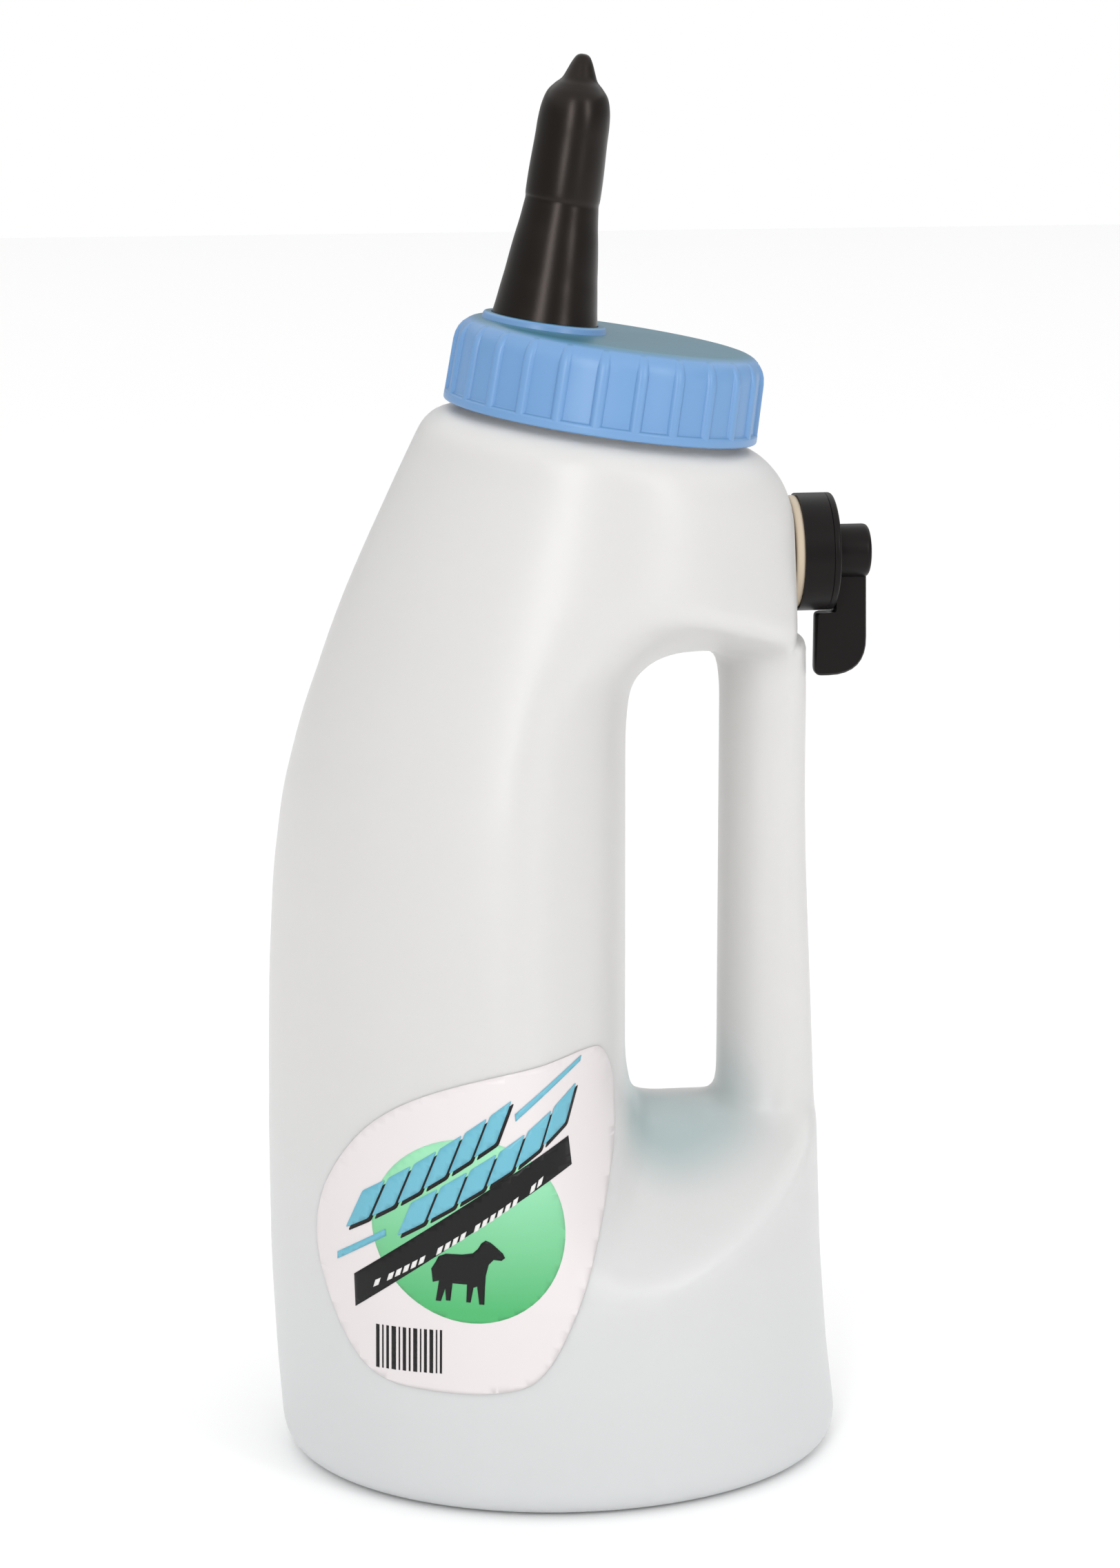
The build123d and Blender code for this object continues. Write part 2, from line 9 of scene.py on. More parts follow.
import bmesh
import bpy
import numpy as np
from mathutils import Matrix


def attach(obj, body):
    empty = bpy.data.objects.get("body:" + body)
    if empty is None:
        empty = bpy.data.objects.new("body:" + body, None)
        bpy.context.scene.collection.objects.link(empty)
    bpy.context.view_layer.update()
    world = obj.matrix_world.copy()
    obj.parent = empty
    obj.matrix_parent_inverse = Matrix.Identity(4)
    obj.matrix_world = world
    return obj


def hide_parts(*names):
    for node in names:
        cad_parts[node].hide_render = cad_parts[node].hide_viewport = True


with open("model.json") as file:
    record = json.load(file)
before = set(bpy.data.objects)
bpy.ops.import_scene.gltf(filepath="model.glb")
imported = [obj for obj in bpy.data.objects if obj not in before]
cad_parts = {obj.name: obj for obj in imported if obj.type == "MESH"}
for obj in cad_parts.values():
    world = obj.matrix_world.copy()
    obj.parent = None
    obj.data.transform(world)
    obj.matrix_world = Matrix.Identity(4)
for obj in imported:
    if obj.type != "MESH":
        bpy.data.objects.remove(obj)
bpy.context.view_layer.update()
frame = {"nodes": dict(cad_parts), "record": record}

import openvdb
from mathutils import Euler, Matrix, Vector
from mathutils.geometry import delaunay_2d_cdt

MM = 0.001

# ---- bottle: front and rear x and half depth of the egg-shaped plan, by height ----
STATIONS = [
    # z, front x, rear x, half depth
    (9, -87.0, 82.5, 74.5),
    (30, -88.6, 79.8, 76.3),
    (60, -90.0, 77.4, 78.2),
    (90, -90.2, 76.2, 78.8),
    (120, -90.2, 75.2, 78.0),
    (150, -89.6, 73.8, 76.2),
    (180, -88.0, 72.4, 73.5),
    (205, -84.8, 71.8, 70.6),
    (230, -78.3, 71.8, 66.8),
    (256, -68.8, 71.0, 62.0),
    (287, -55.0, 68.5, 55.6),
]

# ---- finger gap: the belly's rear and the handle's front and half width by height, its ends by y ----
BELLY_REAR = [
    (15, 80.0), (60, 48.0), (95, 23.0), (122, 16.5), (226, 16.5), (241, 18.5), (254, 33.0), (285, 70.0),
]
HANDLE_FRONT = [
    (15, 5.0), (60, 30.0), (92, 42.5), (112, 46.3), (235, 46.3), (252, 43.5), (264, 37.0), (295, 20.0),
]
HANDLE_HALF_WIDTH = [
    (15, 60.0), (60, 40.0), (92, 22.0), (122, 17.0), (222, 17.0), (246, 20.0), (262, 28.0), (295, 48.0),
]
GAP_FLOOR = [(0, 104.5), (22, 101.5), (44, 92.0), (66, 77.0), (88, 60.0)]
GAP_ROOF = [(0, 246.0), (24, 249.0), (50, 260.0), (88, 288.0)]
BELLY_END_BLEND = 12
HANDLE_END_BLEND = 8
TUBE_BLEND = 5
SIDE_BLEND = 5

# ---- the rest of the shell ----
BOTTLE_NODES = ("bottle_foot", "bottle_belly", "bottle_handle", "bottle_shoulder", "bottle_neck")
SEAT_X = 66.0
SEAT_FOOT = 249.0
SEAT_BLEND = 4
WALL = 1.8
BASE_ROUNDING = 11.0
RECESS_DEPTH = 1.2
RECESS_SHARE = 0.8
RECESS_BLEND = 3.0
FIELD_LOW = (-96.0, -86.0, -5.0)
FIELD_HIGH = (90.0, 86.0, 346.0)
VOXEL = 2.15

# ---- leaning neck frame: w runs up the neck from the cap's lower edge ----
NECK_X = 9.8
NECK_Z = 313.5
NECK_TILT = radians(8.5)
LEAN_START = 225.0
LEAN_FULL = 300.0
SHOULDER_W = -7.0
SHOULDER_R = 51.5
CROWN_W = -2.0
CROWN_ROUNDING = 9.0
NECK_R = 41.6
NECK_FOOT_BLEND = 2.5
RIM_W = 21.0
THREAD_PITCH = 5.0
THREAD_TURNS = 1.5
THREAD_DEPTH = 1.25
THREAD_START = 7.0
THREAD_ROOT_HALF = 1.15
THREAD_CREST_HALF = 0.5
THREAD_SINK = 0.3
THREAD_STEPS = 72
THREAD_FADE = 12

# ---- ribbed cap and its collar ----
CAP_R = 46.4
CAP_TOP_R = 45.7
CAP_HEIGHT = 25.3
CAP_WALL_R = 43.6
CAP_ROOF = 2.2
CAP_PANEL_DEPTH = 1.1
CAP_RIBS = 25
RIB_WIDTH = 2.6
RIB_ROWS = [
    # height, bend towards the axis
    (2.2, 0.0), (10.0, 0.0), (17.5, 0.0), (19.6, 0.25), (21.4, 0.9), (22.9, 1.9), (24.0, 3.2), (24.6, 4.6),
]
TEAT_U = -20.5
TEAT_HOLE_R = 14.3
COLLAR_INNER_R = 15.7
COLLAR_OUTER_R = 18.2
COLLAR_HEIGHT = 2.0

# ---- teat: (radius, height) outlines in the cap's frame, from the collar to the tip ----
TEAT_OUTSIDE = [
    (15.4, 25.6), (15.55, 26.9), (15.3, 28.5), (14.9, 31), (14.2, 36), (13.6, 40), (13.0, 45), (12.3, 50),
    (11.5, 55), (10.95, 59.5), (10.75, 61.5), (10.95, 63.5), (10.9, 70), (10.55, 79), (10.45, 84),
    (10.0, 88.5), (8.9, 92.3), (7.0, 94.8), (5.2, 96.6), (4.1, 99), (3.1, 101.4), (2.0, 103.3),
    (0.9, 103.95), (0, 104.0),
]
TEAT_FLANGE_R = 18.2
TEAT_FLANGE_FOOT = 20.9
TEAT_INSIDE = [
    (0, 97), (2.5, 96), (5.5, 93), (8.0, 86), (8.6, 70), (8.5, 60), (10.0, 50), (11.3, 40), (12.0, 30),
    (12.0, TEAT_FLANGE_FOOT),
]

# ---- air valve, along +X ----
VALVE_Z = 273.0
VALVE_R = 17.5
HUB_R = 8.0
HUB_START_X = 80.0
LEVER_END_X = 90.5
PADDLE_X = 74.5
PADDLE_REACH = 37.5
PADDLE_TOP_DROP = 18.4
PADDLE_HALF_THICK = 2.5
PADDLE_EDGE = [
    # inset from the outline, share of the half thickness
    (0.9, -1.0), (0.25, -0.75), (0, -0.4), (0, 0.4), (0.25, 0.75), (0.9, 1.0),
]
HOUSING_X = 68.5
HOUSING_SEAM_X = 77.1
HOUSING_END_X = 79.3
SHANK_BORE_R = 8.2
SPINDLE_BORE_R = 2.6
WASHER_BORE_R = 8.4
WASHER_R = 16.9

NECK = Matrix.Translation((NECK_X, 0, NECK_Z)) @ Matrix.Rotation(NECK_TILT, 4, "Y")
VALVE = Matrix.Translation((0, 0, VALVE_Z)) @ Matrix.Rotation(pi / 2, 4, "Y")


# ======================= shape helpers =======================
def smooth_curve(points, softness=14):
    """Function that runs smoothly through (place, value) points and straight on past both ends."""
    places, values = np.array(points, float).T
    grid = np.arange(places[0] - 90, places[-1] + 90, 1.0)
    first = (values[1] - values[0]) / (places[1] - places[0])
    last = (values[-1] - values[-2]) / (places[-1] - places[-2])
    line = np.interp(grid, places, values)
    line += first * np.minimum(grid - places[0], 0) + last * np.maximum(grid - places[-1], 0)
    window = np.hanning(2 * softness + 1)
    smooth = np.convolve(line, window / window.sum(), mode="same")
    return lambda place: np.interp(place, grid, smooth)


def both_signs(points, softness=14):
    """Smooth function of distance from the mid plane, the same on both sides."""
    mirrored = [(-place, value) for place, value in reversed(points[1:])] + points
    return smooth_curve(mirrored, softness)


def soft_max(a, b, blend):
    """The larger of two fields, rounded where they cross."""
    share = np.maximum(blend - np.abs(a - b), 0) / blend
    return np.maximum(a, b) + share * share * blend / 4


def soft_min(a, b, blend):
    """The smaller of two fields, rounded where they cross."""
    return -soft_max(-a, -b, blend)


def oval_distance(x, y, front, rear, half_depth):
    """Rough distance outside an upright oval tube, negative inside."""
    middle, half = (front + rear) / 2, (rear - front) / 2
    px, py = (x - middle) / half, y / half_depth
    near = np.sqrt(px * px + py * py) + 1e-9
    slope = np.sqrt((px / half) ** 2 + (py / half_depth) ** 2) + 1e-9
    return near * (near - 1) / slope


def eased(share):
    """Runs gently from 0 to 1."""
    return share * share * (3 - 2 * share)


def new_object(name, mesh):
    """Object with a mesh, at the origin and linked to the scene."""
    obj = bpy.data.objects.new(name, mesh)
    bpy.context.scene.collection.objects.link(obj)
    return obj


def finish_mesh(bm, name, sharp_angle=40):
    """Merges doubles, turns faces outwards, scales to metres and makes an object."""
    bmesh.ops.remove_doubles(bm, verts=bm.verts, dist=1e-4)
    bmesh.ops.recalc_face_normals(bm, faces=bm.faces)
    bmesh.ops.scale(bm, vec=(MM, MM, MM), verts=bm.verts)
    mesh = bpy.data.meshes.new(name)
    bm.to_mesh(mesh)
    bm.free()
    mesh.shade_smooth()
    mesh.set_sharp_from_angle(angle=radians(sharp_angle))
    return new_object(name, mesh)


WIDE_REACH = 8
WIDE_SHARE = 0.72
EVEN_SHARE = 0.49


def rounded(points, radius, steps=5):
    """Closed outline with its corners rounded. A corner is (a, b) or (a, b, its own reach)."""
    path = []
    for i, point in enumerate(points):
        corner = Vector(point[:2])
        own = point[2] if len(point) > 2 else radius
        share = WIDE_SHARE if own > WIDE_REACH else EVEN_SHARE
        before = Vector(points[i - 1][:2]) - corner
        after = Vector(points[(i + 1) % len(points)][:2]) - corner
        reach = min(own, share * before.length, share * after.length)
        if reach < 1e-3:
            path.append(tuple(corner))
            continue
        start, end = corner + before.normalized() * reach, corner + after.normalized() * reach
        for step in range(steps + 1):
            t = step / steps
            path.append(tuple((1 - t) ** 2 * start + 2 * t * (1 - t) * corner + t * t * end))
    return path


def lathe(bm, profile, place, segments=96):
    """Adds a closed solid of revolution from a closed (radius, height) outline."""
    rings = []
    for radius, height in profile:
        if radius < 1e-3:
            rings.append([bm.verts.new(place @ Vector((0, 0, height)))] * segments)
            continue
        ring = []
        for k in range(segments):
            angle = 2 * pi * k / segments
            ring.append(bm.verts.new(place @ Vector((radius * cos(angle), radius * sin(angle), height))))
        rings.append(ring)
    for low, high in zip(rings, rings[1:] + rings[:1]):
        for k in range(segments):
            corners = [low[k - 1], low[k], high[k], high[k - 1]]
            unique = list(dict.fromkeys(corners))
            if len(unique) > 2:
                bm.faces.new(unique)


def wall_rings(bm, rings):
    """Joins closed rings of corners one after the other, and closes both ends."""
    for low, high in zip(rings, rings[1:]):
        for k in range(len(low)):
            bm.faces.new((low[k - 1], low[k], high[k], high[k - 1]))
    bm.faces.new(rings[0])
    bm.faces.new(reversed(rings[-1]))


def spline_steps(corners, steps):
    """Points of a smooth curve from the second of four corners towards the third."""
    path = []
    for step in range(steps):
        t = step / steps
        before, start = -t + 2 * t * t - t ** 3, 2 - 5 * t * t + 3 * t ** 3
        end, after = t + 4 * t * t - 3 * t ** 3, t ** 3 - t * t
        weights = (before, start, end, after)
        path.append(tuple(sum(w * p[i] for w, p in zip(weights, corners)) / 2 for i in (0, 1)))
    return path


def flow_profile(points, steps=6):
    """Smooth open curve through (radius, height) points."""
    padded = [points[0]] + list(points) + [points[-1]]
    path = []
    for corners in zip(padded, padded[1:], padded[2:], padded[3:]):
        path += spline_steps(corners, steps)
    return path + [points[-1]]


# ======================= bottle shape =======================
def leaning(z):
    """Slope of the level sections: flat in the belly, square to the neck at the crown."""
    share = np.clip((z - LEAN_START) / (LEAN_FULL - LEAN_START), 0, 1)
    return eased(share) * tan(NECK_TILT)


def station_columns():
    """Front, rear and half depth as functions of height measured along the leaning sections."""
    crown_x = NECK_X + SHOULDER_W * sin(NECK_TILT)
    crown_z = NECK_Z + SHOULDER_W * cos(NECK_TILT)
    half = SHOULDER_R * cos(NECK_TILT)
    front = [(z + leaning(z) * (x - NECK_X), x) for z, x, _, _ in STATIONS]
    front.append((crown_z, crown_x - half))
    rear = [(z + leaning(z) * (x - NECK_X), x) for z, _, x, _ in STATIONS]
    rear.append((crown_z + 1, crown_x + half + 1))
    depth = [(z, c) for z, _, _, c in STATIONS] + [(crown_z, SHOULDER_R)]
    return smooth_curve(front), smooth_curve(rear, 10), smooth_curve(depth)


FRONT, REAR, DEPTH = station_columns()
BELLY = smooth_curve(BELLY_REAR, 12)
GRIP_FRONT = smooth_curve(HANDLE_FRONT, 8)
GRIP_HALF = smooth_curve(HANDLE_HALF_WIDTH, 12)
FLOOR = both_signs(GAP_FLOOR, 16)
ROOF = both_signs(GAP_ROOF, 16)


def neck_coordinates(x, y, z):
    """Distance from the neck's axis and height along it."""
    dx, dz = x - NECK_X, z - NECK_Z
    u = dx * cos(NECK_TILT) - dz * sin(NECK_TILT)
    w = dx * sin(NECK_TILT) + dz * cos(NECK_TILT)
    return np.sqrt(u * u + y * y), w


def bottle_distance(x, y, z):
    """Signed distance field of the bottle's outside, with every corner softly blended."""
    level = z + leaning(z) * (x - NECK_X)
    front, rear, depth = FRONT(level), REAR(level), DEPTH(level)
    whole = oval_distance(x, y, front, rear, depth)
    belly = oval_distance(x, y, front - 3, BELLY(z), depth + 2)
    grip = oval_distance(x, y, GRIP_FRONT(z), np.maximum(rear, 72) + 3, GRIP_HALF(z))
    beyond_gap = np.minimum(z - FLOOR(y), ROOF(y) - z)
    belly = soft_min(belly, beyond_gap, BELLY_END_BLEND)
    grip = soft_min(grip, beyond_gap, HANDLE_END_BLEND)
    body = soft_max(whole, soft_min(belly, grip, TUBE_BLEND), SIDE_BLEND)
    body = soft_max(body, np.minimum(x - SEAT_X, z - SEAT_FOOT), SEAT_BLEND)
    radius, w = neck_coordinates(x, y, z)
    body = soft_max(body, w - CROWN_W, CROWN_ROUNDING)
    neck = np.maximum(np.maximum(radius - NECK_R, w - RIM_W - 5), CROWN_W - 8 - w)
    body = soft_min(body, neck, NECK_FOOT_BLEND)
    return soft_max(body, -z, BASE_ROUNDING)


def bottle_slope(points, step=0.2):
    """Direction and steepness in which the distance field grows at each point."""
    slope = np.empty_like(points)
    for axis in range(3):
        shift = np.zeros(3)
        shift[axis] = step
        slope[:, axis] = bottle_distance(*(points + shift).T) - bottle_distance(*(points - shift).T)
    return slope / (2 * step)


def bottle_surface(passes=4, least_slope=0.05):
    """Quads of the bottle's outside, pulled onto the blended surface."""
    low = np.array(FIELD_LOW)
    axes = [np.arange(a, b, VOXEL) for a, b in zip(FIELD_LOW, FIELD_HIGH)]
    x, y, z = np.meshgrid(*axes, indexing="ij")
    grid = openvdb.FloatGrid()
    grid.copyFromArray(bottle_distance(x, y, z).astype(np.float32))
    points, quads = grid.convertToQuads(isovalue=0.0)
    points = points.astype(float) * VOXEL + low
    for _ in range(passes):
        slope = bottle_slope(points)
        size = np.maximum((slope * slope).sum(1), least_slope)
        points -= slope * (bottle_distance(*points.T) / size)[:, None]
    return points, quads


def raise_base_middle(points):
    """Lifts the middle of the base, so that the bottle stands on a rim."""
    lowest = STATIONS[0][0]
    front, rear, depth = (column(lowest) * RECESS_SHARE for column in (FRONT, REAR, DEPTH))
    inside = -oval_distance(points[:, 0], points[:, 1], front, rear, depth)
    share = np.clip(inside / RECESS_BLEND, 0, 1)
    low = np.clip(1 - points[:, 2] / RECESS_BLEND, 0, 1)
    points[:, 2] += RECESS_DEPTH * eased(share) * low


def thread_ridge():
    """Right-hand thread ridge on the neck, in metres, with ends that fade into it."""
    bm = bmesh.new()
    steps = int(THREAD_TURNS * THREAD_STEPS)
    root = NECK_R - THREAD_SINK
    rings = []
    for i in range(steps + 1):
        share = i / steps
        fade = min(1, THREAD_FADE * share, THREAD_FADE * (1 - share))
        crest = NECK_R + THREAD_DEPTH * fade
        angle = 2 * pi * THREAD_TURNS * share
        middle = THREAD_START + THREAD_PITCH * THREAD_TURNS * share
        section = ((root, -THREAD_ROOT_HALF), (crest, -THREAD_CREST_HALF),
                   (crest, THREAD_CREST_HALF), (root, THREAD_ROOT_HALF))
        corners = [Vector((r * cos(angle), r * sin(angle), middle + rise)) for r, rise in section]
        rings.append([bm.verts.new(NECK @ corner) for corner in corners])
    wall_rings(bm, rings)
    bmesh.ops.recalc_face_normals(bm, faces=bm.faces)
    bmesh.ops.scale(bm, vec=(MM, MM, MM), verts=bm.verts)
    mesh = bpy.data.meshes.new("thread_ridge")
    bm.to_mesh(mesh)
    bm.free()
    return mesh


def plain_copy(obj):
    """Mesh of an object as its modifiers leave it."""
    return bpy.data.meshes.new_from_object(obj.evaluated_get(bpy.context.evaluated_depsgraph_get()))


def open_skin():
    """The bottle's outside as an open sheet in metres, cut square to the neck at the rim."""
    points, quads = bottle_surface()
    raise_base_middle(points)
    bm = bmesh.new()
    verts = [bm.verts.new(p) for p in points]
    for quad in quads:
        bm.faces.new([verts[i] for i in quad])
    normal = NECK.to_3x3() @ Vector((0, 0, 1))
    everything = bm.verts[:] + bm.edges[:] + bm.faces[:]
    rim = NECK @ Vector((0, 0, RIM_W))
    bmesh.ops.bisect_plane(bm, geom=everything, plane_co=rim, plane_no=normal, clear_outer=True)
    bmesh.ops.recalc_face_normals(bm, faces=bm.faces)
    lowest = min(bm.faces, key=lambda f: f.calc_center_median().z)
    if lowest.normal.z > 0:
        bmesh.ops.reverse_faces(bm, faces=bm.faces)
    bmesh.ops.scale(bm, vec=(MM, MM, MM), verts=bm.verts)
    mesh = bpy.data.meshes.new("bottle_shell")
    bm.to_mesh(mesh)
    bm.free()
    return mesh


def make_bottle(material):
    """Blow-moulded shell with an open, threaded neck."""
    shell = new_object("bottle_shell", open_skin())
    wall = shell.modifiers.new("wall", "SOLIDIFY")
    wall.thickness = WALL * MM
    wall.offset = -1
    wall.use_even_offset = False
    shell.data = plain_copy(shell)
    shell.modifiers.clear()
    shell.data.name = "bottle_shell"
    bm = bmesh.new()
    bm.from_mesh(shell.data)
    bm.from_mesh(thread_ridge())
    bm.to_mesh(shell.data)
    bm.free()
    shell.data.shade_smooth()
    shell.data.set_sharp_from_angle(angle=radians(50))
    shell.data.materials.clear()
    shell.data.materials.append(material)
    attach(shell, "bottle")
    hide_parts(*BOTTLE_NODES)


# ======================= cap =======================
def cap_profile():
    """Closed (radius, height) outline of the cap: foot band, sunk panels, rounded shoulder and flat top."""
    top, roof = CAP_HEIGHT, CAP_HEIGHT - CAP_ROOF
    panel_r = CAP_R - CAP_PANEL_DEPTH
    return rounded(
        [(CAP_WALL_R, 0, 0.4), (CAP_R, 0, 0.7), (CAP_R, 2.6, 0.6), (panel_r, 3.2, 0.4),
         (CAP_TOP_R - CAP_PANEL_DEPTH, top, 7.0), (0, top, 0), (0, roof, 0), (CAP_WALL_R, roof, 0.8)], 0.5, 9)


def rib_tree(material):
    """Geometry nodes: one rib copied round a circle, then made real."""
    tree = bpy.data.node_groups.new("ribs round the skirt", "GeometryNodeTree")
    tree.interface.new_socket("Geometry", in_out="INPUT", socket_type="NodeSocketGeometry")
    tree.interface.new_socket("Rib count", in_out="INPUT", socket_type="NodeSocketInt")
    tree.interface.new_socket("Skirt radius", in_out="INPUT", socket_type="NodeSocketFloat")
    tree.interface.new_socket("Geometry", in_out="OUTPUT", socket_type="NodeSocketGeometry")
    nodes, link = tree.nodes, tree.links.new
    given, out = nodes.new("NodeGroupInput"), nodes.new("NodeGroupOutput")
    circle = nodes.new("GeometryNodeMeshCircle")
    position = nodes.new("GeometryNodeInputPosition")
    turn = nodes.new("FunctionNodeAlignRotationToVector")
    turn.axis = "X"
    turn.pivot_axis = "Z"
    copies = nodes.new("GeometryNodeInstanceOnPoints")
    real = nodes.new("GeometryNodeRealizeInstances")
    paint = nodes.new("GeometryNodeSetMaterial")
    paint.inputs["Material"].default_value = material
    link(given.outputs["Rib count"], circle.inputs["Vertices"])
    link(given.outputs["Skirt radius"], circle.inputs["Radius"])
    link(position.outputs[0], turn.inputs["Vector"])
    link(circle.outputs["Mesh"], copies.inputs["Points"])
    link(given.outputs["Geometry"], copies.inputs["Instance"])
    link(turn.outputs[0], copies.inputs["Rotation"])
    link(copies.outputs[0], real.inputs[0])
    link(real.outputs[0], paint.inputs["Geometry"])
    link(paint.outputs[0], out.inputs[0])
    return tree


def set_input(modifier, name, value):
    """Sets a geometry nodes input by its socket's identifier."""
    for item in modifier.node_group.interface.items_tree:
        if item.item_type == "SOCKET" and item.in_out == "INPUT" and item.name == name:
            modifier[item.identifier] = value


def one_rib():
    """A narrow rounded rib, standing at the panel's radius and bending in over the cap's shoulder."""
    bm = bmesh.new()
    half, crest = RIB_WIDTH / 2, CAP_PANEL_DEPTH
    left = [(-1.2, -half - 0.8), (0.15, -half - 0.5), (crest - 0.25, -half + 0.1), (crest, -half + 0.6)]
    shape = left + [(x, -y) for x, y in reversed(left)]
    rings = []
    for z, bend in RIB_ROWS:
        inward = (CAP_R - CAP_TOP_R) * (z / CAP_HEIGHT) + bend
        rings.append([bm.verts.new((x - inward, y, z)) for x, y in shape])
    wall_rings(bm, rings)
    return finish_mesh(bm, "cap_ribs", 50)


def make_cap(material):
    """Cap with a raised collar for the teat, and its ring of ribs as a second piece."""
    bm = bmesh.new()
    lathe(bm, cap_profile(), NECK, 150)
    collar = NECK @ Matrix.Translation((TEAT_U, 0, 0))
    top = CAP_HEIGHT
    lathe(bm, rounded([(COLLAR_INNER_R, top - 0.6, 0), (COLLAR_OUTER_R + 0.3, top - 0.6, 0),
                       (COLLAR_OUTER_R - 0.3, top + COLLAR_HEIGHT, 0.9),
                       (COLLAR_INNER_R, top + COLLAR_HEIGHT, 0.6)], 0.5), collar, 96)
    cap = finish_mesh(bm, "cap_shell", 50)
    cap.data.materials.append(material)
    ribs = one_rib()
    modifier = ribs.modifiers.new("ribs", "NODES")
    modifier.node_group = rib_tree(material)
    set_input(modifier, "Rib count", CAP_RIBS)
    set_input(modifier, "Skirt radius", (CAP_R - CAP_PANEL_DEPTH) * MM)
    made = plain_copy(ribs)
    ribs.modifiers.clear()
    ribs.data = made
    to_metres = Matrix.Scale(MM, 4)
    ribs.data.transform(to_metres @ NECK @ to_metres.inverted())
    for piece in (cap, ribs):
        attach(piece, "cap")
    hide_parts("screw_cap")


# ======================= teat =======================
def make_teat(material):
    """Long rubber teat with a bead at its foot, a waist and a rounded bulb under the tip."""
    roof, stem = CAP_HEIGHT - CAP_ROOF, TEAT_HOLE_R - 0.1
    outside = [(stem, roof), (stem, CAP_HEIGHT)] + TEAT_OUTSIDE
    flange = [(TEAT_FLANGE_R, TEAT_FLANGE_FOOT), (TEAT_FLANGE_R, roof)]
    bm = bmesh.new()
    place = NECK @ Matrix.Translation((TEAT_U, 0, 0))
    lathe(bm, flow_profile(outside, 5) + flow_profile(TEAT_INSIDE, 3) + flange, place, 96)
    teat = finish_mesh(bm, "teat_rubber", 60)
    teat.data.materials.append(material)
    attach(teat, "cap")
    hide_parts("feeding_teat")


# ======================= air valve =======================
def make_housing(material):
    """Round black housing on the back wall: cup and cover in one smooth barrel with a fine seam."""
    seam, end = HOUSING_SEAM_X, HOUSING_END_X
    bm = bmesh.new()
    lathe(bm, rounded([(SHANK_BORE_R, HOUSING_X, 0), (VALVE_R - 0.2, HOUSING_X, 0.8),
                       (VALVE_R, seam - 0.25, 0.2), (VALVE_R - 0.35, seam, 0.1), (VALVE_R, seam + 0.25, 0.2),
                       (VALVE_R, end, 1.6), (SPINDLE_BORE_R, end, 0.2), (SPINDLE_BORE_R, seam, 0)], 0.3),
          VALVE, 96)
    housing = finish_mesh(bm, "valve_housing", 40)
    housing.data.materials.append(material)
    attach(housing, "bottle")
    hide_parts("valve_cover")


def make_lever(material):
    """Domed hub with a broad thumb paddle that steps out round the housing."""
    end = LEVER_END_X
    bm = bmesh.new()
    lathe(bm, rounded([(0, HUB_START_X, 0), (HUB_R, HUB_START_X, 0.5), (HUB_R, end, 3.0),
                       (4.2, end - 0.1, 0.5), (3.0, end - 0.1, 0.3), (3.0, end - 2.2, 0), (0, end - 2.2, 0)],
                      0.4, 6), VALVE, 64)
    top, bottom = VALVE_Z + 2, VALVE_Z - PADDLE_REACH
    step = VALVE_Z - PADDLE_TOP_DROP
    outline = rounded([(HUB_START_X, top, 0), (HUB_START_X, step, 1.2), (PADDLE_X, step, 1.2),
                       (PADDLE_X, bottom, 2.5), (end, bottom, 11.5), (end - 0.8, top, 0)], 0.5, 8)
    middle = Vector(((PADDLE_X + end) / 2, (top + bottom) / 2))
    sides = []
    for inset, y in PADDLE_EDGE:
        ring = []
        for a, b in outline:
            direction = (middle - Vector((a, b))).normalized()
            a, b = a + direction.x * inset, b + direction.y * inset
            ring.append(bm.verts.new((a, y * PADDLE_HALF_THICK, b)))
        sides.append(ring)
    wall_rings(bm, sides)
    lever = finish_mesh(bm, "thumb_lever", 35)
    lever.data.materials.append(material)
    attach(lever, "lever")
    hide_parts("valve_lever")


def make_washer(material):
    """Soft cream washer squeezed between the back wall and the housing."""
    bm = bmesh.new()
    near, far, edge = SEAT_X - 0.1, HOUSING_X + 0.1, WASHER_R - 0.2
    lathe(bm, rounded([(WASHER_BORE_R, near, 0), (edge, near, 0.6), (WASHER_R, SEAT_X + 1.2, 1.0),
                       (edge, far, 0.6), (WASHER_BORE_R, far, 0)], 0.4), VALVE, 96)
    washer = finish_mesh(bm, "soft_washer", 50)
    washer.data.materials.append(material)
    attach(washer, "bottle")
    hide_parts("valve_outer_washer")


# ======================= materials =======================
def input_socket(tree, name, kind, value):
    """Adds a named input with its usual value to a node group."""
    socket = tree.interface.new_socket(name, in_out="INPUT", socket_type=kind)
    socket.default_value = value


